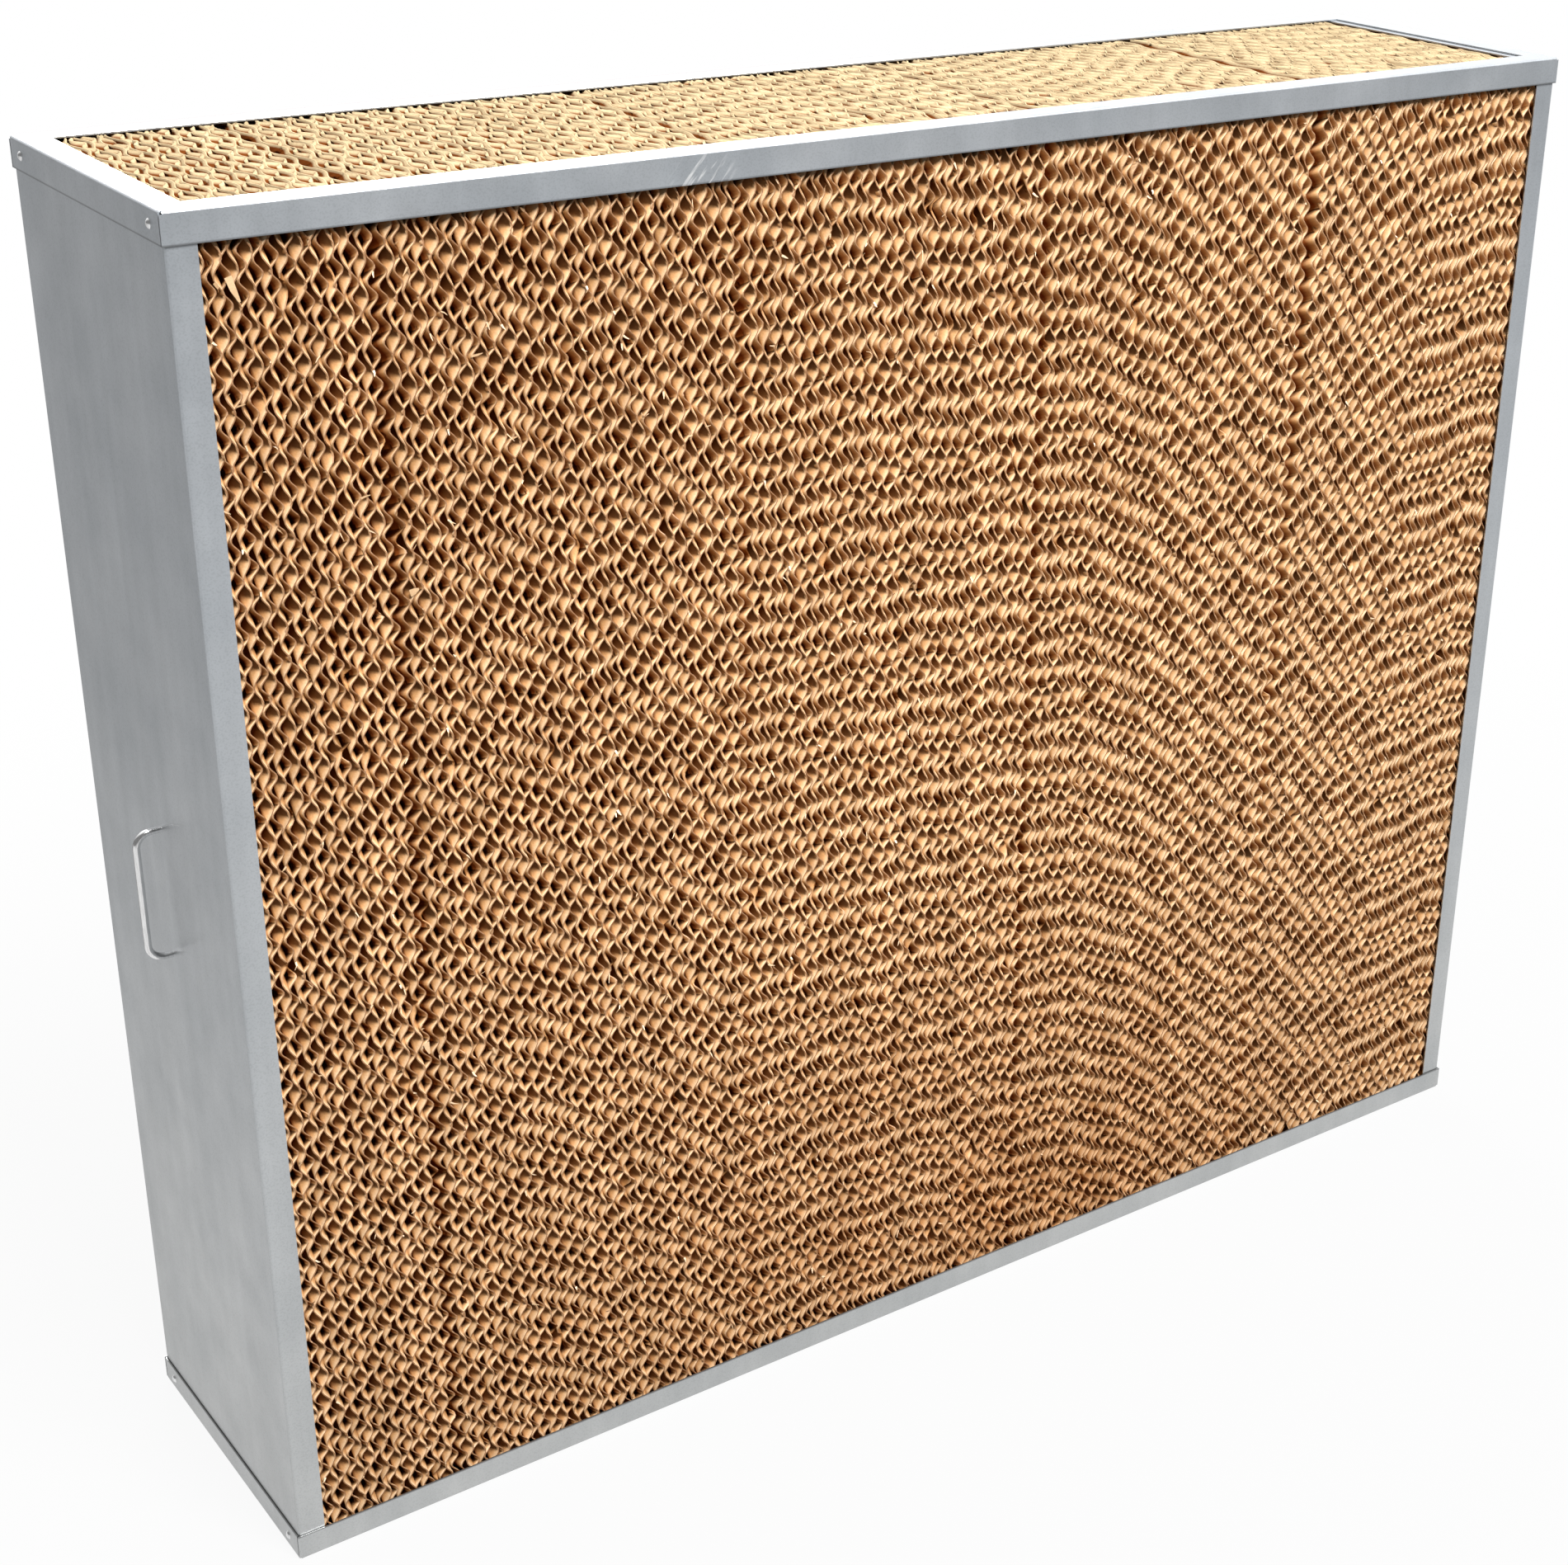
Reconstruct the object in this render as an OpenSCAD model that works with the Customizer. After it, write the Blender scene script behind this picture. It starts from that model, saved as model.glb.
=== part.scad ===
// Evaporative cooling pad: blocks of cross-fluted cellulose sheets in a folded sheet-metal frame.
// Millimetres. +Z is up, +X runs to the right along the front face and +Y from the front to the back.
// The origin is on the floor, in the middle of the whole part's footprint, handle included.

/* [Frame] */
// Outside width of the frame
frame_w = 1380; // [900:10:2000]
// Outside depth of the frame
frame_d = 305; // [150:5:600]
// Outside height of the frame
frame_h = 1150; // [600:10:2000]
// Thickness of the frame's sheet metal
sheet_t = 1.2; // [0.8:0.1:2]
// Inside radius of a fold in the sheet metal
fold_r = 1; // [0.5:0.1:2]
// Width of the rim strips round the open top and the open bottom
rim_w = 24; // [15:1:45]
// Height of the lips that the top and bottom frames turn over the four sides
lip_h = 24; // [15:1:45]
// Width of the end panels' front and back flanges
flange_w = 23.5; // [15:0.5:45]
// Width of the return at the top of the right end panel
return_w = 32; // [15:1:60]
// Clearance between two sheets that overlap
lap_gap = 0.3; // [0.1:0.1:1]

/* [Rivets] */
// Diameter of a rivet's shank
rivet_d = 4; // [2.4:0.2:5]
// Diameter of a rivet's domed head
rivet_head_d = 7.6; // [6:0.2:10]
// Height of a rivet's domed head
rivet_head_h = 1.9; // [1:0.1:3]
// Distance from a rivet's axis to the front or back of the frame
rivet_inset = 22; // [8:1:60]
// Clearance all round a rivet's shank
rivet_gap = 0.1; // [0.05:0.05:0.3]

/* [Handle] */
// Diameter of the handle's rod
rod_d = 6; // [4:0.5:12]
// Distance between the axes of the handle's two legs
handle_span = 112; // [80:1:200]
// Distance from the end panel to the outside of the handle's bar
handle_reach = 22; // [18:1:60]
// Radius of the handle's bends, at the middle of the rod
handle_bend = 13; // [8:1:15]

/* [Pad] */
// Width of the first block, which is cut to fill the frame
cut_block_w = 147; // [60:1:250]
// Gap between two blocks
seam_gap = 1.2; // [0.5:0.1:6]
// Gap between the outer blocks and the end panels
pad_end_gap = 3; // [2:0.1:15]
// Gap between the pad and the end panels' flanges, front and back
pad_face_gap = 1.3; // [0.3:0.1:10]
// Gap between the top of the pad and the underside of the top rim
pad_top_gap = 2; // [2:0.1:20]
// Pitch of the fluted sheets across a block
sheet_pitch = 5.85; // [4:0.05:12]
// Thickness of a fluted sheet's cut edge
edge_t = 1; // [0.4:0.1:3]
// Clearance between the crests of two sheets that lie side by side
crest_gap = 0.3; // [0.1:0.1:1]
// Distance between a sheet's flutes, square to them
flute_pitch = 19.6; // [10:0.1:40]
// Angle at which every other sheet's flutes rise from the front to the back
steep_rise = 45; // [15:0.5:60]
// Angle at which the flutes of the sheets between them fall from the front to the back
flat_fall = 21.5; // [5:0.5:60]
// Sheets with modelled flutes on each flank of a block
flank_sheets = 2; // [1:1:4]
// Depth of the open channels between the edges of the other sheets
channel_depth = 14; // [3:1:60]

/* [Hidden] */
$fn = 48;

steel = [0.66, 0.69, 0.71];
bright = [0.82, 0.83, 0.84];
kraft = [0.80, 0.62, 0.38];

fold_out = fold_r + sheet_t;
lap = sheet_t + lap_gap;
panel_d = frame_d - 2 * lap;
panel_bottom = lap + fold_r;
panel_top = frame_h - panel_bottom;

handle_out = handle_reach - lap;
frame_x = (handle_out - rivet_head_h) / 2;
frame_left = frame_x - frame_w / 2;
frame_right = frame_x + frame_w / 2;
web_left = frame_left + lap;
web_right = frame_right - lap;

full_blocks = 4;
pad_left = web_left + sheet_t + pad_end_gap;
pad_right = web_right - sheet_t - pad_end_gap;
block_w = (pad_right - pad_left - cut_block_w - full_blocks * seam_gap) / full_blocks;
pad_d = panel_d - 2 * (sheet_t + pad_face_gap);
pad_h = frame_h - 2 * sheet_t - pad_top_gap;

// Section of a folded sheet: one leg along X, one along Y, with its outside corner at the origin.
module fold_section(leg_x, leg_y) {
    translate([fold_out, 0]) square([leg_x - fold_out, sheet_t]);
    translate([0, fold_out]) square([sheet_t, leg_y - fold_out]);
    intersection() {
        square(fold_out);
        translate([fold_out, fold_out]) difference() {
            circle(fold_out);
            circle(fold_r);
        }
    }
}

// Places one child at each rivet of an end, with its axis along X.
module at_rivets() {
    for (y = [-1, 1] * (frame_d / 2 - rivet_inset), z = [lip_h / 2, frame_h - lip_h / 2])
        translate([0, y, z]) children();
}

// Rivet holes through the lips and webs of both ends.
module rivet_holes() {
    at_rivets() translate([frame_x, 0, 0]) rotate([0, 90, 0])
        cylinder(h = 2 * frame_w, d = rivet_d + 2 * rivet_gap, center = true);
}

// Ring of four rim strips with a lip turned up from each; the seams at its corners stay open.
module rim_ring() {
    for (m = [0, 1]) {
        mirror([0, m, 0]) translate([0, -frame_d / 2, 0]) {
            rotate([90, 0, 90]) linear_extrude(frame_w - 2 * fold_out, center = true)
                fold_section(rim_w, lip_h);
            translate([-frame_w / 2, 0, fold_out]) cube([frame_w, sheet_t, lip_h - fold_out]);
        }
        mirror([m, 0, 0]) translate([-frame_w / 2, 0, 0]) rotate([90, 0, 0])
            linear_extrude(frame_d - 2 * fold_out, center = true) fold_section(rim_w, lip_h);
    }
}

module bottom_frame() {
    color(steel) difference() {
        translate([frame_x, 0, 0]) rim_ring();
        rivet_holes();
    }
}

module top_frame() {
    color(steel) difference() {
        translate([frame_x, 0, frame_h]) mirror([0, 0, 1]) rim_ring();
        rivet_holes();
    }
}

// Channel with its web's outside face at X = 0 and its flanges towards +X.
module channel(bottom, top) {
    translate([0, 0, bottom]) linear_extrude(top - bottom) for (m = [0, 1])
        mirror([0, m]) translate([0, -panel_d / 2]) fold_section(flange_w, panel_d / 2);
}

module end_panel_left() {
    color(steel) difference() {
        translate([web_left, 0, 0]) channel(panel_bottom, panel_top);
        rivet_holes();
    }
}

module end_panel_right() {
    return_top = frame_h - lap;
    color(steel) difference() {
        translate([web_right, 0, 0]) mirror([1, 0, 0]) {
            channel(panel_bottom, return_top - fold_out);
            translate([0, 0, return_top]) rotate([-90, 0, 0])
                linear_extrude(panel_d - 2 * (fold_out + lap_gap), center = true)
                    fold_section(return_w, lip_h);
        }
        rivet_holes();
    }
}

// Bow handle: two legs, two bends and an upright bar, on the web of the left end panel.
module handle() {
    bar_x = web_left - handle_reach + rod_d / 2;
    leg = handle_reach - rod_d / 2 - handle_bend;
    color(bright) translate([bar_x, 0, frame_h / 2]) {
        cylinder(h = handle_span - 2 * handle_bend, d = rod_d, center = true);
        for (m = [0, 1]) mirror([0, 0, m]) translate([handle_bend, 0, handle_span / 2 - handle_bend]) {
            rotate([90, 0, 0]) rotate([0, 0, 90]) rotate_extrude(angle = 90)
                translate([handle_bend, 0]) circle(d = rod_d);
            translate([0, 0, handle_bend]) rotate([0, 90, 0]) cylinder(h = leg, d = rod_d);
        }
    }
}

// Blind rivet along +X: domed head outside, shank through lip and web, set end inside.
module rivet() {
    grip = lap + sheet_t;
    dome_r = (rivet_head_d * rivet_head_d / 4 + rivet_head_h * rivet_head_h) / (2 * rivet_head_h);
    set_d = (rivet_d + rivet_head_d) / 2;
    rotate([0, 90, 0]) {
        rotate([180, 0, 0]) rotate_extrude() intersection() {
            translate([0, rivet_head_h - dome_r]) circle(dome_r, $fn = 96);
            square([rivet_head_d, rivet_head_h]);
        }
        cylinder(h = grip, d = rivet_d);
        translate([0, 0, grip]) cylinder(h = sheet_t, d = set_d);
    }
}

module rivets_left() {
    color(bright) at_rivets() translate([frame_left, 0, 0]) rivet();
}

module rivets_right() {
    color(bright) at_rivets() translate([frame_right, 0, 0]) mirror([1, 0, 0]) rivet();
}

// Section of a fluted sheet, square to its flutes: a ribbon that waves along Y, with short flat crests.
module flute_section(length) {
    half_count = ceil(length / flute_pitch / 2);
    swing = (sheet_pitch - crest_gap - edge_t) / 2;
    crest = flute_pitch / 6;
    wave = [for (k = [-half_count : half_count], side = [-1, 1], turn = [-1, 1])
                [side * swing, (k + side / 4) * flute_pitch + turn * crest / 2]];
    polygon(concat([for (p = wave) p + [edge_t / 2, 0]],
                   [for (i = [len(wave) - 1 : -1 : 0]) wave[i] - [edge_t / 2, 0]]));
}

// Fluted sheet along the plane X = 0, trimmed square to the pad's depth and height.
module fluted_sheet(rise) {
    diagonal = norm([pad_d, pad_h]);
    intersection() {
        translate([0, pad_d / 2, pad_h / 2]) rotate([rise - 90, 0, 0])
            linear_extrude(diagonal, center = true) flute_section(diagonal);
        translate([-sheet_pitch, 0, 0]) cube([2 * sheet_pitch, pad_d, pad_h]);
    }
}

// One edge of the inner sheets' section: their edges stand at Y = 0, with channels between them.
function sheet_edges(count, step) = [
    for (k = [0 : count - 1])
        let (a = k * step + (k > 0 ? (step - edge_t) / 2 : 0),
             b = (k + 1) * step - (k < count - 1 ? (step - edge_t) / 2 : 0))
            each concat(k > 0 ? [[a, channel_depth]] : [], [[a, 0], [b, 0]],
                        k < count - 1 ? [[b, channel_depth]] : [])
];

// Section of the inner sheets, open along both edges; its middle is one solid.
module inner_section(count, step, depth) {
    near = sheet_edges(count, step);
    last = len(near) - 1;
    far = [for (i = [last : -1 : 0]) [near[i].x, depth - near[i].y]];
    polygon(concat(near, far));
}

// Inner sheets side by side along X, with channels open on all four faces.
module inner_sheets(count, step) {
    intersection() {
        linear_extrude(pad_h) inner_section(count, step, pad_d);
        translate([0, pad_d, 0]) rotate([90, 0, 0]) linear_extrude(pad_d)
            inner_section(count, step, pad_h);
    }
}

// Block of sheets that stand side by side along X; those on its flanks have their flutes.
module pad_block(x, w) {
    count = floor(w / sheet_pitch);
    step = w / count;
    color(kraft) translate([x, -pad_d / 2, sheet_t]) {
        for (k = [0 : count - 1]) if (min(k, count - 1 - k) < flank_sheets)
            translate([(k + 0.5) * step, 0, 0]) fluted_sheet(k % 2 == 0 ? -flat_fall : steep_rise);
        translate([flank_sheets * step, 0, 0]) inner_sheets(count - 2 * flank_sheets, step);
    }
}

// Full blocks, counted from 1, stand to the right of the cut block.
module full_block(i) {
    pad_block(pad_left + cut_block_w + seam_gap + (i - 1) * (block_w + seam_gap), block_w);
}

module pad_block_1() { pad_block(pad_left, cut_block_w); }
module pad_block_2() { full_block(1); }
module pad_block_3() { full_block(2); }
module pad_block_4() { full_block(3); }
module pad_block_5() { full_block(4); }

top_frame();
bottom_frame();
end_panel_left();
end_panel_right();
handle();
rivets_left();
rivets_right();
pad_block_1();
pad_block_2();
pad_block_3();
pad_block_4();
pad_block_5();
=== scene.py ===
"""Looks of the evaporative cooling pad: fluted paper sheets, galvanised frame, bright metal."""
import math

import bpy
import numpy as np
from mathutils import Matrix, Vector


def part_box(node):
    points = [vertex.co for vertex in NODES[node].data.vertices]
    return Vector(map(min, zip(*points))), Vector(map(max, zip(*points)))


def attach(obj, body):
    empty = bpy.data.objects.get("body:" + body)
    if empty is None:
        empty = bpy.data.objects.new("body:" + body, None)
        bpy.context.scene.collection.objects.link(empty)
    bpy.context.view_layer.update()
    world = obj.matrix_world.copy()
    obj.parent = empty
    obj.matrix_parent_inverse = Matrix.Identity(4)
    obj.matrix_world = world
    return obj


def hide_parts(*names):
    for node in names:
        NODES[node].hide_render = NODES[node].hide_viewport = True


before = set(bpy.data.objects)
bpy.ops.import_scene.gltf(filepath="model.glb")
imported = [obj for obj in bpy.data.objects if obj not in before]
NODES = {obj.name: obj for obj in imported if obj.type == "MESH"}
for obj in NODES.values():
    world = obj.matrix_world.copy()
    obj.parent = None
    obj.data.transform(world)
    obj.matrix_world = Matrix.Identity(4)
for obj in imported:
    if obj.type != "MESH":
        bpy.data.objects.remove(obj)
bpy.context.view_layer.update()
MM = 0.001

# Camera: place and turn in the part's frame, lens on a 36 mm sensor, and the photo's framing
CAMERA_AT = (-1.2887, -1.8655, 1.5405)
CAMERA_TURN_DEG = (65.120, -1.565, -36.712)
CAMERA_LENS = 59.59
SENSOR = 36.0
CAMERA_SHIFT = (-0.1234, 0.0084)

# Lamps: place, aim, side of the square in metres, and watts
KEY_LAMP = ((0.4, -4.2, 6.4), (0, 0, 0.6), 2.8, 1950)
BACK_LAMP = ((1.0, 3.4, 1.2), (0, 0, 0.6), 2.0, 330)

# Surround: the fill that lights the part, and the room that the metal mirrors, brighter on one side.
# Each span here gives a range and what it is carried to.
WHITE = (1, 1, 1, 1)
FILL_COLOUR, FILL_STRENGTH = (1.0, 0.96, 0.92, 1), 0.08
ROOM_BRIGHT_SIDE = (0.5, 0.5, 0.7)
ROOM_SPAN = (0.15, 0.7, 0.25, 1.6)
# Floor: white to the eye, a little less so near the part, and grey where it lights the part
FLOOR_HALF = 12.0
FLOOR_TONE = (0.2, 0.2, 0.2, 1)
FLOOR_WHITE_SPAN = (0.7, 2.0, 0.94, 1.0)
# The metal mirrors the floor dimmer the farther that lies behind the part or in front of it
FLOOR_BEHIND_SPAN = (0.2, 2.0, 0.95, 0.63)
FLOOR_BEFORE_SPAN = (-3.2, -0.8, 0.57, 1.06)

# Fluted sheets of the pad: steep flutes rise towards the back on every other sheet, flat ones fall
SHEET_PITCH = 5.85 * MM
FLUTE_PITCH = 19.6 * MM
FLUTE_SWING = 3.3 * MM
STEEP_RISE_DEG = 45.0
FLAT_RISE_DEG = -21.5
PAPER = 0.9 * MM
# The first and last lines of a sheet lie this far inside its corners
CORNER_INSET = 0.1 * MM
# Lines that shape each crest, in turns of a flute from its middle
CREST_TURNS = np.array((-0.16, -0.055, 0.055, 0.16))
SWING_SPREAD = 0.06
# How far the lines wander from their even pitch, and over what length
LINE_WANDER, WANDER_LENGTH = 1.0 * MM, 90 * MM
# Bends of the cut edges, short and long: length and size
SHORT_BEND, LONG_BEND = (10 * MM, 0.3 * MM), (70 * MM, 0.35 * MM)
# Wear of the cut edges: its size, and the torn notches' spacing, with depths and widths in millimetres
EDGE_WEAR = 0.2 * MM
NOTCH_SPACING = 30 * FLUTE_PITCH
NOTCH_DEPTHS, NOTCH_WIDTHS = (2, 6), (3, 8)
# No line loses more of its length than this at one end
MOST_WORN = 0.3

# The sheets rise past their CAD node to the rim's underside, except below the right panel's return
PAD_RISE = 1.5 * MM
RETURN_REACH = 36 * MM

# How far each block's left flank leans away from the seam beside it, at the bottom and at the top
LEANS = {
    "pad_block_1": (0.0, 0.0),
    "pad_block_2": (1.0 * MM, 2.2 * MM),
    "pad_block_3": (0.3 * MM, 1.2 * MM),
    "pad_block_4": (0.3 * MM, 1.2 * MM),
    "pad_block_5": (0.0, 8.5 * MM),
}
LEAN_SHEETS = 12

# How far the flutes climb from one sheet to the next like it, at a block's left flank and at its right
CLIMBS = {
    "pad_block_1": (11 * MM, 11 * MM),
    "pad_block_2": (-8 * MM, -13 * MM),
    "pad_block_3": (2 * MM, -5 * MM),
    "pad_block_4": (-2 * MM, -14 * MM),
    "pad_block_5": (11 * MM, 0),
}
# How much that climb varies from one sheet to the next, in turns of a flute
WANDERS = {
    "pad_block_1": 0.15,
    "pad_block_2": 0.17,
    "pad_block_3": 0.16,
    "pad_block_4": 0.1,
    "pad_block_5": 0.16,
}
# How much it differs from block to block, and how much and over how many sheets it drifts within one
CLIMB_SPREAD = 1.2 * MM
DRIFT, DRIFT_SHEETS = 0.1, 3

# Torn scraps caught in the front: place on the face, length, width, and turn from the level
SCRAPS = (
    (-636 * MM, 1100 * MM, 20 * MM, 5.5 * MM, -75),
    (-646 * MM, 1097 * MM, 12 * MM, 2.5 * MM, -45),
    (-518 * MM, 845 * MM, 8 * MM, 6 * MM, 15),
    (-592 * MM, 832 * MM, 6 * MM, 2 * MM, 40),
    (-457 * MM, 1019 * MM, 9 * MM, 2 * MM, 5),
    (-531 * MM, 459 * MM, 9 * MM, 5.5 * MM, -80),
)
SCRAP_STANDOFF = 0.6 * MM
SCRAP_TILT = -0.05

# Frays along the front edges: how many, how far out, and their lengths and widths in millimetres
FRAYS_PER_SHEET = 5
FRAY_REACH = 1.8 * MM
FRAY_LENGTHS, FRAY_WIDTHS = (2.5, 6.5), (0.8, 2.0)
FRAY_RIDGE = 0.35 * MM
# How far frays stray from their edge's direction, sideways, outwards and up or down
FRAY_STRAYS = (0.6, 0.3, 0.3)
# Only edge lines this close to the front face can fray
FRAY_ZONE = 1.5 * MM

# A sliver of torn paper: sections along it, each with its place and its share of the width
SLIVER_SECTIONS = ((0.0, 1.0), (0.5, 0.85), (1.0, 0.3))
SLIVER_CORNERS = 9
SLIVER_CURL = 0.25
# Slivers wider than this curl less
LIMP_WIDTH = 3 * MM

# Kinds of faces in a block, in the order of its materials
FACE, EDGE, TORN = 0, 1, 2

# Damp stain low on the pad, its palest part, and the scuff on the front lip
STAIN_AT, STAIN_SIZE = (0.08, 0.04), (0.75, 0.42)
PALE_AT, PALE_SIZE = (-0.15, 0.60), (0.85, 0.75)
SCUFF_AT, SCUFF_SIZE = (-0.258, 1.134), (0.032, 0.020)

# Paper's tones: painted light and shade by how far a face looks up, from sheet to sheet, in blotches, in
# fibres, and towards the palest part; then on the pad's top, painted shade deep inside, and damp
FACING_LIGHT_TONES = [(0.2, (0.57, 0.29, 0.125)), (0.5, (0.85, 0.77, 0.71)),
                  (0.8, (1.42, 1.54, 1.82)), (1.0, (1.06, 1.12, 1.24))]
PAPER_TONES = [(0.0, (0.88, 0.87, 0.85)), (1.0, (1.08, 1.08, 1.08))]
BLOTCH_TONES = [(0.3, (0.84, 0.82, 0.8)), (0.7, (1.1, 1.1, 1.1))]
FIBRE_TONES = [(0.3, (0.9, 0.89, 0.87)), (0.7, (1.06, 1.06, 1.06))]
PALE_TONES = [(0.0, (0.92, 0.92, 0.92)), (1.0, (1.08, 1.08, 1.08))]
TOP_TONE = (0.396, 0.31, 0.189)
DEEP_SHADE_TONE = (0.1, 0.026, 0.005)
DAMP_TONE = (0.78, 0.66, 0.56)
# How far in the painted shade is darkest, and below the top, between what depths the top's tone fades out
DEEP_SHADE_AT = 12 * MM
TOP_FROM, TOP_TO = 1.2 * MM, 3.0 * MM

# Metal's tones: clouds, streaks, warmer low down, specks, painted shade along the lips' edges and the back
# fold, the scuff, and the painted dark reflection on the handle's outer side
CLOUD_TONES = [(0.3, (0.405, 0.43, 0.455)), (0.7, (0.485, 0.507, 0.53))]
STREAK_TONES = [(0.3, (0.93, 0.93, 0.93)), (0.7, (1.04, 1.04, 1.04))]
LOW_WARM_TONES = [(0.0, (0.99, 0.96, 0.91)), (1.0, (1, 1, 1))]
LOW_WARM_HEIGHT = 0.9
SPECK_TONES = [(0.36, (0.84, 0.84, 0.84)), (0.5, (1, 1, 1))]
PAINTED_SHADE_TONE = (0.1, 0.1, 0.1)
SCUFF_TONE = (0.95, 0.95, 0.95)
# Painted shade: how far from a lip's edge, and how strong; and the same from the back fold
LIP_SHADE_SPAN = (0.5 * MM, 1.6 * MM, 0.65, 0)
FOLD_FROM, FOLD_TO, FOLD_STRENGTH = 2.0 * MM, 1.0 * MM, 0.55
# Painted reflection: the dark tone on the handle's outer side, and the way that side faces
PAINTED_REFLECTION_TONE = (0.03, 0.03, 0.03)
HANDLE_REFLECTION_SIDE = (-0.87, 0.49, 0)


def camera():
    """The photo's viewpoint."""
    data = bpy.data.cameras.new("camera")
    data.sensor_fit = "HORIZONTAL"
    data.sensor_width = SENSOR
    data.lens = CAMERA_LENS
    data.shift_x, data.shift_y = CAMERA_SHIFT
    obj = bpy.data.objects.new("camera", data)
    obj.location = CAMERA_AT
    obj.rotation_euler = [math.radians(a) for a in CAMERA_TURN_DEG]
    bpy.context.collection.objects.link(obj)
    bpy.context.scene.camera = obj


def area_light(name, at, aim, size, watts):
    """A soft square lamp at one point, facing another."""
    data = bpy.data.lights.new(name, "AREA")
    data.shape = "SQUARE"
    data.size = size
    data.energy = watts
    obj = bpy.data.objects.new(name, data)
    obj.location = at
    towards = np.array(aim) - np.array(at)
    yaw = math.atan2(towards[1], towards[0]) - math.pi / 2
    pitch = math.atan2(towards[2], math.hypot(towards[0], towards[1])) + math.pi / 2
    obj.rotation_euler = (pitch, 0, yaw)
    bpy.context.collection.objects.link(obj)


def number(tree, operation, *values):
    """A Math node's result; values are sockets or numbers."""
    node = tree.nodes.new("ShaderNodeMath")
    node.operation = operation
    for value, socket in zip(values, node.inputs):
        if isinstance(value, bpy.types.NodeSocket):
            tree.links.new(value, socket)
        else:
            socket.default_value = value
    return node.outputs[0]


def span(tree, value, low, high, to_low, to_high):
    """A value carried from one range to another, and held at its ends."""
    node = tree.nodes.new("ShaderNodeMapRange")
    limits = {"From Min": low, "From Max": high, "To Min": to_low, "To Max": to_high}
    for socket, limit in limits.items():
        node.inputs[socket].default_value = limit
    tree.links.new(value, node.inputs["Value"])
    return node.outputs["Result"]


def studio():
    """White surround, pale floor and soft lamps; the metal mirrors a room that is darker on one side."""
    world = bpy.data.worlds.new("studio")
    bpy.context.scene.world = world
    world.use_nodes = True
    tree = world.node_tree
    tree.nodes.clear()
    path = tree.nodes.new("ShaderNodeLightPath")
    fill = tree.nodes.new("ShaderNodeBackground")
    fill.inputs["Color"].default_value = FILL_COLOUR
    fill.inputs["Strength"].default_value = FILL_STRENGTH
    room = tree.nodes.new("ShaderNodeBackground")
    facing = tree.nodes.new("ShaderNodeVectorMath")
    facing.operation = "DOT_PRODUCT"
    facing.inputs[1].default_value = ROOM_BRIGHT_SIDE
    tree.links.new(tree.nodes.new("ShaderNodeTexCoord").outputs["Generated"], facing.inputs[0])
    brightness = span(tree, facing.outputs["Value"], *ROOM_SPAN)
    tree.links.new(brightness, room.inputs["Strength"])
    white = tree.nodes.new("ShaderNodeBackground")
    reflected = tree.nodes.new("ShaderNodeMixShader")
    indirect = number(tree, "MAXIMUM", path.outputs["Is Glossy Ray"], path.outputs["Is Transmission Ray"])
    tree.links.new(indirect, reflected.inputs[0])
    tree.links.new(fill.outputs[0], reflected.inputs[1])
    tree.links.new(room.outputs[0], reflected.inputs[2])
    seen = tree.nodes.new("ShaderNodeMixShader")
    tree.links.new(path.outputs["Is Camera Ray"], seen.inputs[0])
    tree.links.new(reflected.outputs[0], seen.inputs[1])
    tree.links.new(white.outputs[0], seen.inputs[2])
    tree.links.new(seen.outputs[0], tree.nodes.new("ShaderNodeOutputWorld").inputs["Surface"])
    for background in (room, white):
        background.inputs["Color"].default_value = WHITE

    mesh = bpy.data.meshes.new("floor")
    corners = [(x * FLOOR_HALF, y * FLOOR_HALF, 0) for x, y in ((-1, -1), (1, -1), (1, 1), (-1, 1))]
    mesh.from_pydata(corners, [], [(0, 1, 2, 3)])
    floor = bpy.data.objects.new("floor", mesh)
    bpy.context.collection.objects.link(floor)
    paint = bpy.data.materials.new("floor_white")
    paint.use_nodes = True
    tree = paint.node_tree
    tree.nodes.clear()
    path = tree.nodes.new("ShaderNodeLightPath")
    away = tree.nodes.new("ShaderNodeVectorMath")
    away.operation = "LENGTH"
    tree.links.new(tree.nodes.new("ShaderNodeTexCoord").outputs["Object"], away.inputs[0])
    white_share = span(tree, away.outputs["Value"], *FLOOR_WHITE_SPAN)
    seen = number(tree, "MULTIPLY", path.outputs["Is Camera Ray"], white_share)
    place = tree.nodes.new("ShaderNodeSeparateXYZ")
    tree.links.new(tree.nodes.new("ShaderNodeTexCoord").outputs["Object"], place.inputs[0])
    mirrored = number(tree, "MINIMUM", span(tree, place.outputs["Y"], *FLOOR_BEHIND_SPAN),
                      span(tree, place.outputs["Y"], *FLOOR_BEFORE_SPAN))
    glossy = path.outputs["Is Glossy Ray"]
    dimmed = number(tree, "MULTIPLY", glossy, number(tree, "SUBTRACT", 1.0, mirrored))
    share = number(tree, "MAXIMUM", seen, glossy)
    diffuse = tree.nodes.new("ShaderNodeBsdfDiffuse")
    diffuse.inputs["Color"].default_value = FLOOR_TONE
    glow = tree.nodes.new("ShaderNodeEmission")
    tree.links.new(number(tree, "SUBTRACT", 1.0, dimmed), glow.inputs["Strength"])
    mix = tree.nodes.new("ShaderNodeMixShader")
    tree.links.new(share, mix.inputs[0])
    tree.links.new(diffuse.outputs[0], mix.inputs[1])
    tree.links.new(glow.outputs[0], mix.inputs[2])
    tree.links.new(mix.outputs[0], tree.nodes.new("ShaderNodeOutputMaterial").inputs["Surface"])
    mesh.materials.append(paint)

    area_light("key_lamp", *KEY_LAMP)
    area_light("back_lamp", *BACK_LAMP)

    bpy.context.scene.view_settings.view_transform = "Standard"


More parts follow.
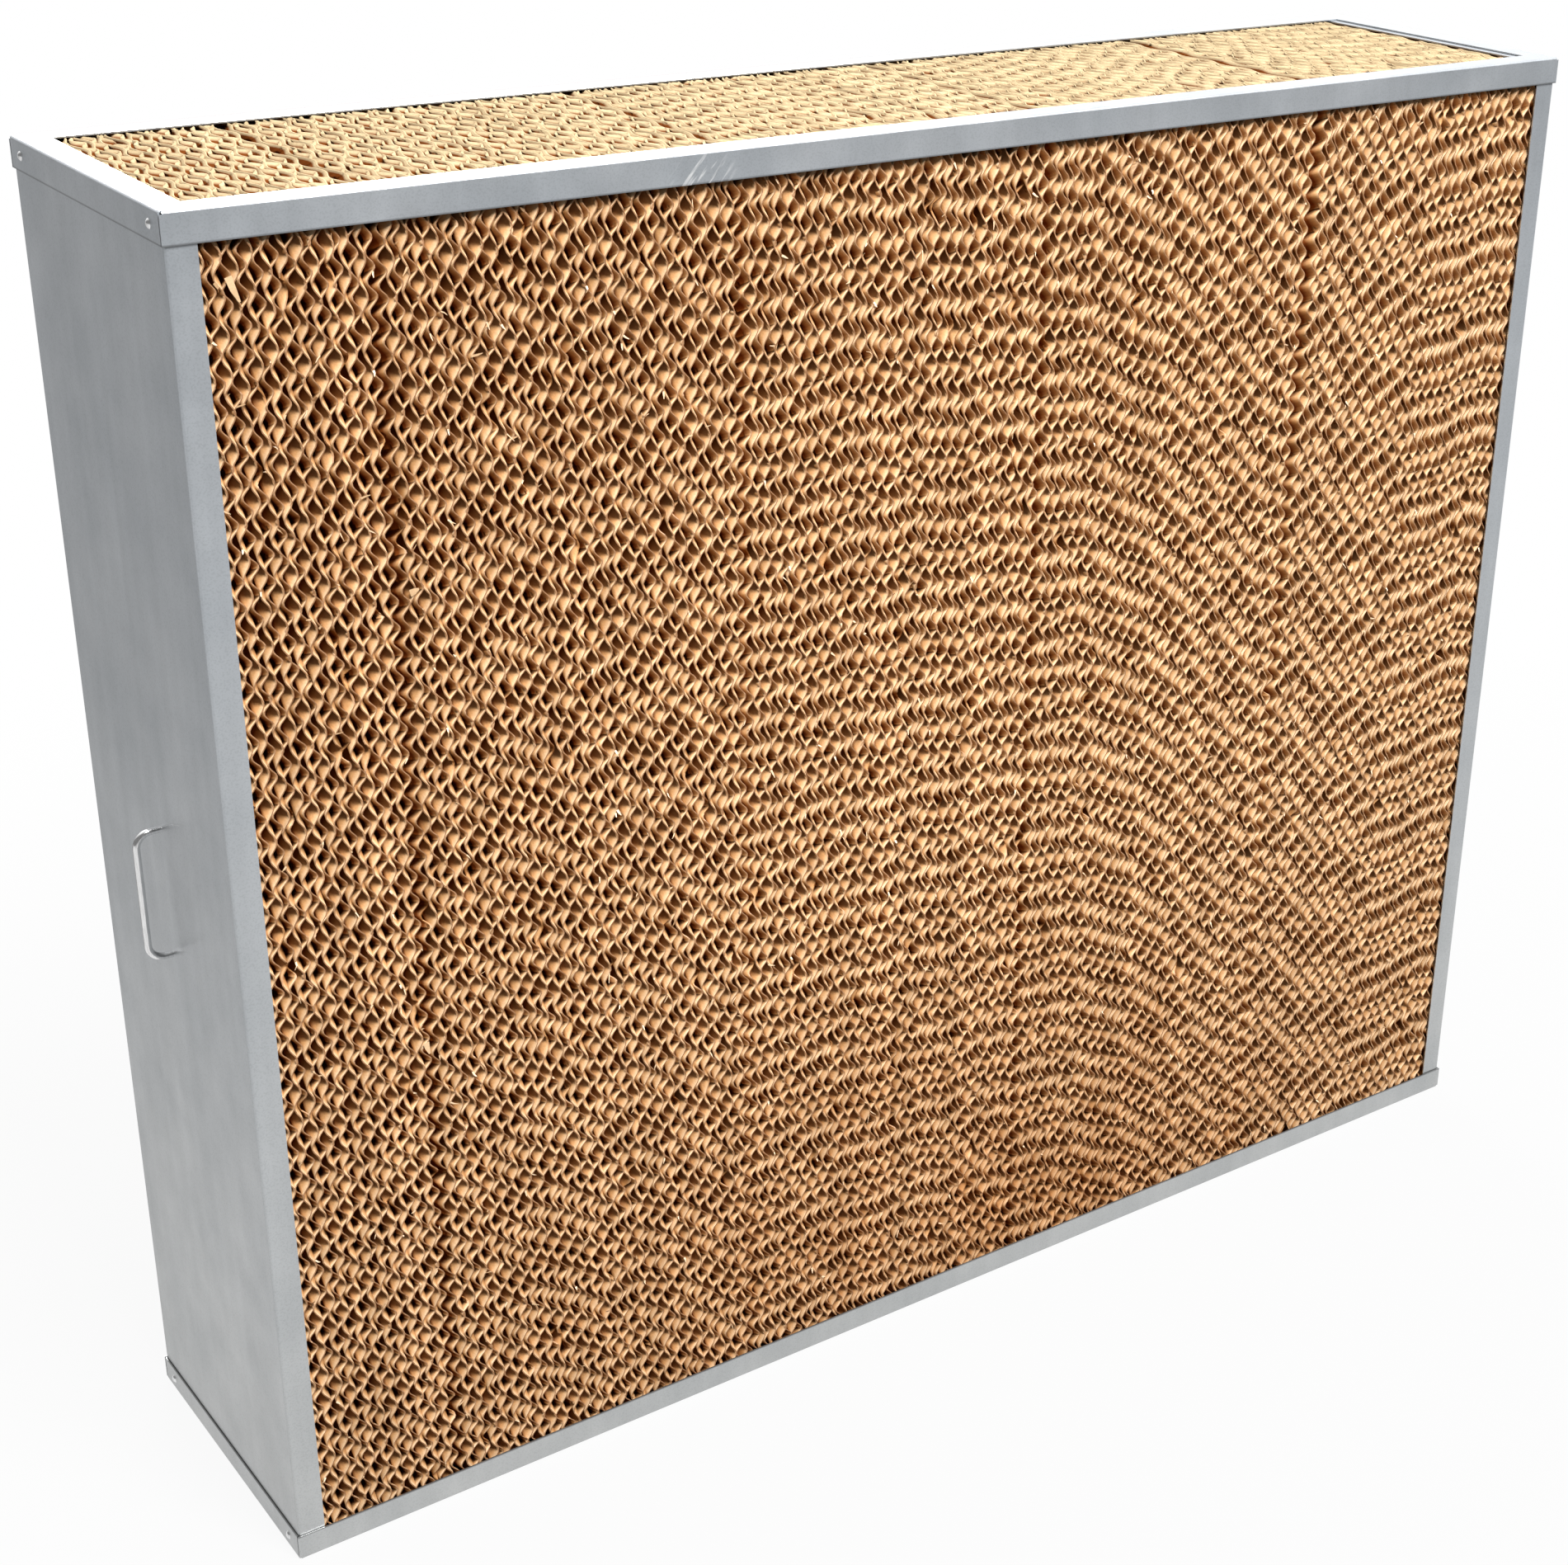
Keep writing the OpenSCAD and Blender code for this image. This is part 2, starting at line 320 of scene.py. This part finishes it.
def smooth_noise(rng, u, spacing, size):
    """Random values along u that change over about the given spacing."""
    knots = np.arange(u.min() - spacing, u.max() + 2 * spacing, spacing)
    return np.interp(u, knots, rng.normal(0, size, len(knots)))


def worn_edge(rng, u):
    """How far a cut edge falls short along u: fine wear, with a torn notch here and there."""
    short = np.abs(rng.normal(0, EDGE_WEAR, len(u)))
    for _ in range(rng.poisson((u.max() - u.min()) / NOTCH_SPACING)):
        depth, width = rng.uniform(*NOTCH_DEPTHS) * MM, rng.uniform(*NOTCH_WIDTHS) * MM
        short += depth * np.clip(1.5 - np.abs(u - rng.uniform(u.min(), u.max())) / width, 0, 1)
    return short


def sheet(rng, x, low, high, rise, lean, offset):
    """Corners of one fluted sheet: an array of lines along the flutes, each with 4 points."""
    along = np.array((math.cos(rise), math.sin(rise)))
    (y0, z0), (y1, z1) = low, high
    corners = sorted(along[0] * z - along[1] * y for y in (y0, y1) for z in (z0, z1))
    start, end = corners[0], corners[-1]

    # Lines along each crest, four to a crest
    first, last = math.floor(start / FLUTE_PITCH) - 2, math.ceil(end / FLUTE_PITCH) + 1
    crests = np.arange(first, last, 0.5) + offset % 1
    sides = np.where(np.arange(len(crests)) % 2, -1, 1)
    swing = FLUTE_SWING * rng.normal(1, SWING_SPREAD, len(crests)) * sides
    wave_u = ((crests[:, None] + CREST_TURNS) * FLUTE_PITCH).ravel()
    wave_x = (swing[:, None] * np.cos(2 * np.pi * CREST_TURNS)).ravel()
    wave_u = wave_u + smooth_noise(rng, wave_u, WANDER_LENGTH, LINE_WANDER)
    inside = wave_u[(wave_u > start) & (wave_u < end)]
    u = np.unique(np.concatenate([inside, corners[1:3], [start + CORNER_INSET, end - CORNER_INSET]]))
    depth = np.interp(u, wave_u, wave_x)

    # Where each flute line enters and leaves the sheet's rectangle
    ends = []
    for face in (y0, y1):
        at_face = (u + along[1] * face) / along[0]
        z = np.clip(at_face, z0, z1)
        y = np.where(z == at_face, face, (along[0] * z - u) / along[1])
        ends.append(np.stack([y, z], axis=1))
    length = np.linalg.norm(ends[1] - ends[0], axis=1)
    flute = (ends[1] - ends[0]) / length[:, None]

    half = 0.5 * PAPER * np.sqrt(1 + np.gradient(depth, u) ** 2)
    points = np.empty((len(u), 4, 3))
    for edge, place in enumerate(ends):
        short = np.minimum(worn_edge(rng, u), MOST_WORN * length)
        place = place + (1 - 2 * edge) * short[:, None] * flute
        bend = smooth_noise(rng, u, *SHORT_BEND) + smooth_noise(rng, u, *LONG_BEND)
        for side, sign in enumerate((-1, 1)):
            middle = x + depth + bend + sign * half
            points[:, 2 * edge + side, 0] = middle + np.interp(place[:, 1], (z0, z1), lean)
            points[:, 2 * edge + side, 1:] = place
    return points


def creep(rng, count, climb, wander, rise):
    """Offsets of like sheets' flutes, in turns: they climb from sheet to sheet, now faster, now slower."""
    steps = (np.linspace(*climb, count) + rng.normal(0, CLIMB_SPREAD)) * math.cos(rise) / FLUTE_PITCH
    steps += smooth_noise(rng, np.arange(count), DRIFT_SHEETS, DRIFT) + rng.normal(0, wander, count)
    return rng.uniform() + np.cumsum(steps)


def slivers(starts, headings, curls, lengths, widths):
    """Thin curled strips of torn paper: each has 3 triangular cross-sections along its length."""
    headings = headings / np.linalg.norm(headings, axis=1)[:, None]
    across = np.cross(headings, (0.0, 1.0, 0.0))
    across /= np.linalg.norm(across, axis=1)[:, None]
    ridge = np.cross(across, headings)
    points = np.empty((len(starts), 3, 3, 3))
    for part, (along, share) in enumerate(SLIVER_SECTIONS):
        middle = starts + lengths[:, None] * (along * headings + along ** 2 * curls)
        reach = 0.5 * share * widths[:, None] * across
        points[:, part] = np.stack([middle - reach, middle + reach, middle + FRAY_RIDGE * ridge], axis=1)
    here = SLIVER_CORNERS * np.arange(len(starts))[:, None]
    sides = [(corner, (corner + 1) % 3) for corner in range(3)]
    quads = [here + [3 * part + a, 3 * part + b, 3 * part + 3 + b, 3 * part + 3 + a]
             for part in range(2) for a, b in sides]
    return points.reshape(-1, 3), np.concatenate(quads)


def torn_paper(rng, edges, low, high):
    """Frays along the sheets' front edges, and the scraps that lie in this block's front."""
    starts, headings, lengths, widths = [], [], [], []
    for edge in edges:
        on_face = np.nonzero(edge[:, 1] < low.y + FRAY_ZONE)[0][1:-1]
        for i in rng.choice(on_face, rng.poisson(FRAYS_PER_SHEET)):
            starts.append(edge[i])
            along = edge[i + 1] - edge[i - 1]
            along = along / np.linalg.norm(along) * rng.choice((-1, 1))
            sideways, outwards, upwards = (rng.normal(0, spread) for spread in FRAY_STRAYS)
            headings.append(along + (sideways, -abs(outwards), upwards))
            lengths.append(rng.uniform(*FRAY_LENGTHS) * MM)
            widths.append(rng.uniform(*FRAY_WIDTHS) * MM)
    for x, z, length, width, turn in SCRAPS:
        if low.x < x < high.x:
            starts.append((x, low.y - SCRAP_STANDOFF, z))
            headings.append((math.cos(math.radians(turn)), SCRAP_TILT, math.sin(math.radians(turn))))
            lengths.append(length)
            widths.append(width)
    limpness = np.minimum(1, LIMP_WIDTH / np.array(widths))[:, None] ** 2
    curls = rng.normal(0, SLIVER_CURL, (len(starts), 3)) * limpness
    verts, quads = slivers(np.array(starts), np.array(headings), curls, np.array(lengths), np.array(widths))
    verts[:, 0] = np.clip(verts[:, 0], low.x, high.x)
    verts[:, 1] = np.maximum(verts[:, 1], low.y - FRAY_REACH)
    verts[:, 2] = np.clip(verts[:, 2], low.z, high.z)
    return verts, quads


def pad_block(name, lean):
    """All the sheets of one block, and its torn paper, as one mesh."""
    rng = np.random.default_rng(int(name[-1]))
    low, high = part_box(name)
    width = high.x - low.x
    count = int(width / SHEET_PITCH)
    pitch = width / count
    rises = [math.radians(FLAT_RISE_DEG), math.radians(STEEP_RISE_DEG)]
    half_count = (count + 1) // 2
    offsets = [creep(rng, half_count, CLIMBS[name], WANDERS[name], rise) for rise in rises]
    verts, quads, kinds, tints, edges = [], [], [], [], []
    base = 0
    clear_of_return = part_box("end_panel_right")[1].x - RETURN_REACH
    for k in range(count):
        eased = max(0.0, 1 - k / LEAN_SHEETS)
        x = low.x + (k + 0.5) * pitch
        top = high.z + (PAD_RISE if x + pitch < clear_of_return else 0)
        lines = sheet(rng, x, (low.y, low.z), (high.y, top), rises[k % 2],
                      [eased * shift for shift in lean], offsets[k % 2][k // 2])
        n = len(lines)
        here = base + 4 * np.arange(n - 1)[:, None]
        after = here + 4
        left = np.concatenate([here, after, after + 2, here + 2], axis=1)
        right = np.concatenate([here + 3, after + 3, after + 1, here + 1], axis=1)
        front = np.concatenate([here, here + 1, after + 1, after], axis=1)
        back = np.concatenate([here + 2, after + 2, after + 3, here + 3], axis=1)
        last = base + 4 * (n - 1)
        caps = np.array([[base, base + 2, base + 3, base + 1], [last, last + 1, last + 3, last + 2]])
        verts.append(lines.reshape(-1, 3))
        quads += [left, right, front, back, caps]
        kinds += [np.full(2 * (n - 1), FACE), np.full(2 * (n - 1) + 2, EDGE)]
        tints.append(np.full(4 * n, rng.uniform()))
        edges.append(lines[:, :2].mean(axis=1))
        base += 4 * n
    torn_verts, torn_quads = torn_paper(rng, edges, low, high)
    verts.append(torn_verts)
    quads.append(torn_quads + base)
    kinds.append(np.full(len(torn_quads), TORN))
    tints.append(rng.uniform(0, 1, len(torn_verts) // SLIVER_CORNERS).repeat(SLIVER_CORNERS))
    return add_mesh(name + "_sheets", np.concatenate(verts), np.concatenate(quads),
                    np.concatenate(kinds), np.concatenate(tints))


def add_mesh(name, verts, quads, kinds, tints):
    """A mesh object from arrays; a face's kind is its material, and only the sheets' faces are smooth."""
    mesh = bpy.data.meshes.new(name)
    mesh.vertices.add(len(verts))
    mesh.vertices.foreach_set("co", verts.astype(np.float32).ravel())
    mesh.loops.add(quads.size)
    mesh.loops.foreach_set("vertex_index", quads.astype(np.int32).ravel())
    mesh.polygons.add(len(quads))
    mesh.polygons.foreach_set("loop_start", np.arange(0, quads.size, 4, dtype=np.int32))
    mesh.polygons.foreach_set("use_smooth", kinds == FACE)
    mesh.polygons.foreach_set("material_index", kinds.astype(np.int32))
    tint = mesh.attributes.new("tint", "FLOAT", "POINT")
    tint.data.foreach_set("value", tints.astype(np.float32))
    mesh.update(calc_edges=True)
    obj = bpy.data.objects.new(name, mesh)
    bpy.context.collection.objects.link(obj)
    return obj


def principled(name):
    """A new material with its tree and its Principled shader."""
    material = bpy.data.materials.new(name)
    material.use_nodes = True
    return material, material.node_tree, material.node_tree.nodes["Principled BSDF"]


def noise(tree, scale, detail=3.0, stretch=None, turn_deg=(0, 0, 0)):
    """A noise texture in metres, turned and then stretched by a scale for each axis."""
    place = tree.nodes.new("ShaderNodeTexCoord").outputs["Object"]
    if stretch:
        turned = tree.nodes.new("ShaderNodeMapping")
        turned.inputs["Rotation"].default_value = [math.radians(a) for a in turn_deg]
        stretched = tree.nodes.new("ShaderNodeMapping")
        stretched.inputs["Scale"].default_value = stretch
        tree.links.new(place, turned.inputs["Vector"])
        tree.links.new(turned.outputs["Vector"], stretched.inputs["Vector"])
        place = stretched.outputs["Vector"]
    texture = tree.nodes.new("ShaderNodeTexNoise")
    texture.inputs["Scale"].default_value = scale
    texture.inputs["Detail"].default_value = detail
    tree.links.new(place, texture.inputs["Vector"])
    return texture.outputs["Fac"]


def ramp(tree, source, stops):
    """Colours along a value."""
    node = tree.nodes.new("ShaderNodeValToRGB")
    elements = node.color_ramp.elements
    while len(elements) < len(stops):
        elements.new(0.5)
    for element, (position, colour) in zip(elements, stops):
        element.position = position
        element.color = (*colour, 1)
    tree.links.new(source, node.inputs["Fac"])
    return node.outputs["Color"]


def blend_colours(tree, factor, first, second, mode="MIX"):
    """Two colours mixed by a socket or a number."""
    node = tree.nodes.new("ShaderNodeMix")
    node.data_type = "RGBA"
    node.blend_type = mode
    for value, socket in ((factor, node.inputs[0]), (first, node.inputs[6]), (second, node.inputs[7])):
        if isinstance(value, bpy.types.NodeSocket):
            tree.links.new(value, socket)
        elif isinstance(value, tuple):
            socket.default_value = (*value, 1)
        else:
            socket.default_value = value
    return node.outputs[2]


def bump(tree, shader, height, strength, distance):
    """Small relief on a shader."""
    node = tree.nodes.new("ShaderNodeBump")
    node.inputs["Strength"].default_value = strength
    node.inputs["Distance"].default_value = distance
    tree.links.new(height, node.inputs["Height"])
    tree.links.new(node.outputs["Normal"], shader.inputs["Normal"])


def depth_in_pad(tree):
    """Distances from a point of the pad to the nearer of its front and back, and to its top."""
    low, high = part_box("pad_block_3")
    place = tree.nodes.new("ShaderNodeSeparateXYZ")
    tree.links.new(tree.nodes.new("ShaderNodeTexCoord").outputs["Object"], place.inputs[0])
    front = number(tree, "SUBTRACT", place.outputs["Y"], low.y)
    back = number(tree, "SUBTRACT", high.y, place.outputs["Y"])
    top = number(tree, "SUBTRACT", high.z + PAD_RISE, place.outputs["Z"])
    return number(tree, "MINIMUM", front, back), top


def near(tree, centre, size):
    """1 near a place on the front, given in X and Z, and 0 past the given size; soft between."""
    place = tree.nodes.new("ShaderNodeSeparateXYZ")
    tree.links.new(tree.nodes.new("ShaderNodeTexCoord").outputs["Object"], place.inputs[0])
    squares = []
    for axis, at, reach in zip("XZ", centre, size):
        away = number(tree, "DIVIDE", number(tree, "SUBTRACT", place.outputs[axis], at), reach)
        squares.append(number(tree, "POWER", away, 2))
    return span(tree, number(tree, "SQRT", number(tree, "ADD", *squares)), 0.1, 1, 1, 0)


def paper(name, pale, warm_shade):
    """Kraft paper: pale at the open faces, with painted shade warm behind them and dark inside, and painted
    light and shade by how far a face looks up; blotched, fibrous and damp.
    """
    material, tree, shader = principled(name)
    inwards, downwards = depth_in_pad(tree)
    facing = tree.nodes.new("ShaderNodeSeparateXYZ")
    tree.links.new(tree.nodes.new("ShaderNodeNewGeometry").outputs["Normal"], facing.inputs[0])
    # Painted shade: darker and redder with depth behind the front and back faces; faces that look up darken
    # more slowly, as painted light that reaches further in
    shaded = number(tree, "MULTIPLY", inwards, span(tree, facing.outputs["Z"], 0.0, 0.7, 1.15, 0.6))
    colour = ramp(tree, span(tree, shaded, 0, DEEP_SHADE_AT, 0, 1), [(0.0, pale), (0.3, warm_shade), (1.0, DEEP_SHADE_TONE)])
    # Painted light and shade: faces that look up are made paler and brighter, faces that look down darker and
    # redder
    facing_light = ramp(tree, span(tree, facing.outputs["Z"], -1, 1, 0, 1), FACING_LIGHT_TONES)
    colour = blend_colours(tree, 1.0, colour, facing_light, "MULTIPLY")
    colour = blend_colours(tree, span(tree, downwards, TOP_FROM, TOP_TO, 1, 0), colour, TOP_TONE)
    attribute = tree.nodes.new("ShaderNodeAttribute")
    attribute.attribute_name = "tint"
    colour = blend_colours(tree, 1.0, colour, ramp(tree, attribute.outputs["Fac"], PAPER_TONES), "MULTIPLY")
    blotches = ramp(tree, noise(tree, 45, 1), BLOTCH_TONES)
    colour = blend_colours(tree, 0.8, colour, blotches, "MULTIPLY")
    fibres = ramp(tree, noise(tree, 900, 0, (1, 0.35, 1)), FIBRE_TONES)
    colour = blend_colours(tree, 0.8, colour, fibres, "MULTIPLY")
    faded = ramp(tree, near(tree, PALE_AT, PALE_SIZE), PALE_TONES)
    colour = blend_colours(tree, 1.0, colour, faded, "MULTIPLY")
    damp = number(tree, "MULTIPLY", near(tree, STAIN_AT, STAIN_SIZE),
                  span(tree, noise(tree, 7, 1), 0.3, 0.7, 0.35, 1))
    colour = blend_colours(tree, damp, colour, blend_colours(tree, 1.0, colour, DAMP_TONE, "MULTIPLY"))
    tree.links.new(colour, shader.inputs["Base Color"])
    shader.inputs["Roughness"].default_value = 0.88
    shader.inputs["Specular IOR Level"].default_value = 0.0
    return material


def steel():
    """Galvanised sheet: cloudy grey, with upright streaks, specks, painted shade along the lips' edges and
    the back fold, and a scuff.
    """
    material, tree, shader = principled("galvanised_sheet")
    clouds = ramp(tree, noise(tree, 9, 4), CLOUD_TONES)
    streaks = ramp(tree, noise(tree, 60, 3, (1, 1, 0.05)), STREAK_TONES)
    colour = blend_colours(tree, 0.7, clouds, streaks, "MULTIPLY")
    place = tree.nodes.new("ShaderNodeSeparateXYZ")
    tree.links.new(tree.nodes.new("ShaderNodeTexCoord").outputs["Object"], place.inputs[0])
    # Warmer and slightly darker towards the bottom
    low_warmth = ramp(tree, span(tree, place.outputs["Z"], 0, LOW_WARM_HEIGHT, 0, 1), LOW_WARM_TONES)
    colour = blend_colours(tree, 1.0, colour, low_warmth, "MULTIPLY")
    specks = ramp(tree, noise(tree, 700, 2), SPECK_TONES)
    colour = blend_colours(tree, 0.6, colour, specks, "MULTIPLY")
    top_low, top_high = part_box("top_frame")
    # Painted shade: a dark line along the lips' edges, where the lips stand proud of the panels
    lips = [number(tree, "ABSOLUTE", number(tree, "SUBTRACT", place.outputs["Z"], edge))
            for edge in (top_low.z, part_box("bottom_frame")[1].z)]
    lip_shade = span(tree, number(tree, "MINIMUM", *lips), *LIP_SHADE_SPAN)
    facing = tree.nodes.new("ShaderNodeSeparateXYZ")
    tree.links.new(tree.nodes.new("ShaderNodeNewGeometry").outputs["Normal"], facing.inputs[0])
    # Painted shade: a dark line on the back fold, where it turns down away from the top
    back_fold_shade = span(tree, place.outputs["Y"], top_high.y - FOLD_FROM, top_high.y - FOLD_TO, 0, FOLD_STRENGTH)
    fold_shade = number(tree, "MULTIPLY", back_fold_shade, span(tree, facing.outputs["Z"], 0.3, 0.6, 0, 1))
    colour = blend_colours(tree, number(tree, "MAXIMUM", lip_shade, fold_shade), colour, PAINTED_SHADE_TONE)
    scratches = span(tree, noise(tree, 260, 2, (1, 1, 0.12), (0, -42, 0)), 0.52, 0.64, 0, 1)
    scuff = number(tree, "MULTIPLY", near(tree, SCUFF_AT, SCUFF_SIZE), scratches)
    colour = blend_colours(tree, scuff, colour, SCUFF_TONE)
    tree.links.new(colour, shader.inputs["Base Color"])
    shader.inputs["Metallic"].default_value = 0.9
    tree.links.new(span(tree, noise(tree, 25, 4), 0.2, 0.8, 0.3, 0.42), shader.inputs["Roughness"])
    bump(tree, shader, noise(tree, 500, 2), 0.06, 0.2 * MM)
    return material


def bright_metal(name, low, high, rough, reflection_side=None):
    """Bright metal with fine scratches; the side that faces a given way can carry a painted dark reflection.
    """
    material, tree, shader = principled(name)
    grain = noise(tree, 1200, 2, (1, 1, 0.1))
    colour = ramp(tree, grain, [(0.3, (low,) * 3), (0.7, (high,) * 3)])
    if reflection_side:
        # Painted reflection: the side facing the given way is painted dark, as chrome mirroring dark
        # surroundings
        facing = tree.nodes.new("ShaderNodeVectorMath")
        facing.operation = "DOT_PRODUCT"
        facing.inputs[1].default_value = reflection_side
        tree.links.new(tree.nodes.new("ShaderNodeNewGeometry").outputs["Normal"], facing.inputs[0])
        dark_reflection = span(tree, facing.outputs["Value"], 0.72, 0.86, 0, 1)
        colour = blend_colours(tree, dark_reflection, colour, PAINTED_REFLECTION_TONE)
    tree.links.new(colour, shader.inputs["Base Color"])
    shader.inputs["Metallic"].default_value = 1.0
    shader.inputs["Roughness"].default_value = rough
    bump(tree, shader, grain, 0.05, 0.05 * MM)
    return material


def dress(node, material):
    """Gives a CAD node its finish."""
    slots = NODES[node].data.materials
    slots.clear()
    slots.append(material)


camera()
studio()

# Each paper's second colour is the painted shade just behind the open faces
FACE_PAPER = paper("kraft_face", (0.419, 0.294, 0.171), (0.30, 0.164, 0.066))
# The cut edges are darker than the faces: partly the cut paper's own colour, partly painted shade
EDGE_PAPER = paper("kraft_edge", (0.245, 0.144, 0.081), (0.245, 0.124, 0.048))
TORN_PAPER = paper("kraft_torn", (0.47, 0.347, 0.216), (0.38, 0.243, 0.126))
for cad_node, flank_lean in LEANS.items():
    block = pad_block(cad_node, flank_lean)
    for finish in (FACE_PAPER, EDGE_PAPER, TORN_PAPER):
        block.data.materials.append(finish)
    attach(block, "root")
    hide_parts(cad_node)

SHEET_METAL = steel()
for part in ("top_frame", "bottom_frame", "end_panel_left", "end_panel_right"):
    dress(part, SHEET_METAL)
dress("handle", bright_metal("handle_chrome", low=0.66, high=0.82, rough=0.14, reflection_side=HANDLE_REFLECTION_SIDE))
RIVET_METAL = bright_metal("rivet_aluminium", low=0.66, high=0.82, rough=0.24)
dress("rivets_left", RIVET_METAL)
dress("rivets_right", RIVET_METAL)
